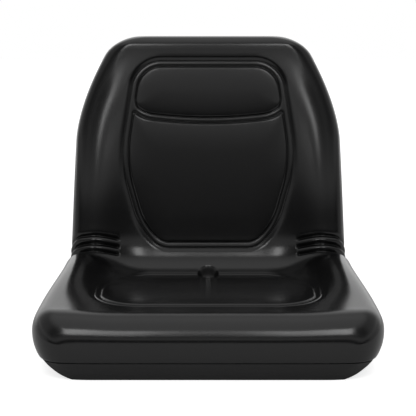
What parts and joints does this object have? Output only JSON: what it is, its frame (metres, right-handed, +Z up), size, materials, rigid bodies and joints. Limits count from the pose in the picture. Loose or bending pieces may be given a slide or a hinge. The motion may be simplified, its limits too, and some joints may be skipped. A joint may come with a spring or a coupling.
{
  "type": "utility vehicle seat",
  "caption": "Mid-back bucket seat moulded in one piece of black vinyl-skinned foam on welded steel pans, with sunk channels round its pads, side bolsters, crease pleats and a drain.",
  "frame": {"origin": "centre of the four mounting holes, on the underside of the base pan", "axes": "+X to the right as seen from the front, +Y towards the backrest, +Z up; the sitter faces -Y"},
  "size_m": [0.468, 0.5082, 0.427],
  "materials": {
    "vinyl": "satin fine-grained vinyl skin",
    "pan_paint": "satin black powder coat",
    "trim": "matt black extrusion",
    "hardware": "zinc plated",
    "drain": "black nylon"
  },
  "bodies": {
    "root": {"moulded_cushion": "vinyl", "base_pan": "pan_paint", "back_pan": "pan_paint", "back_edge_trim": "trim", "mount_weld_nuts": "hardware", "drain_tube": "drain"}
  },
  "joints": []
}
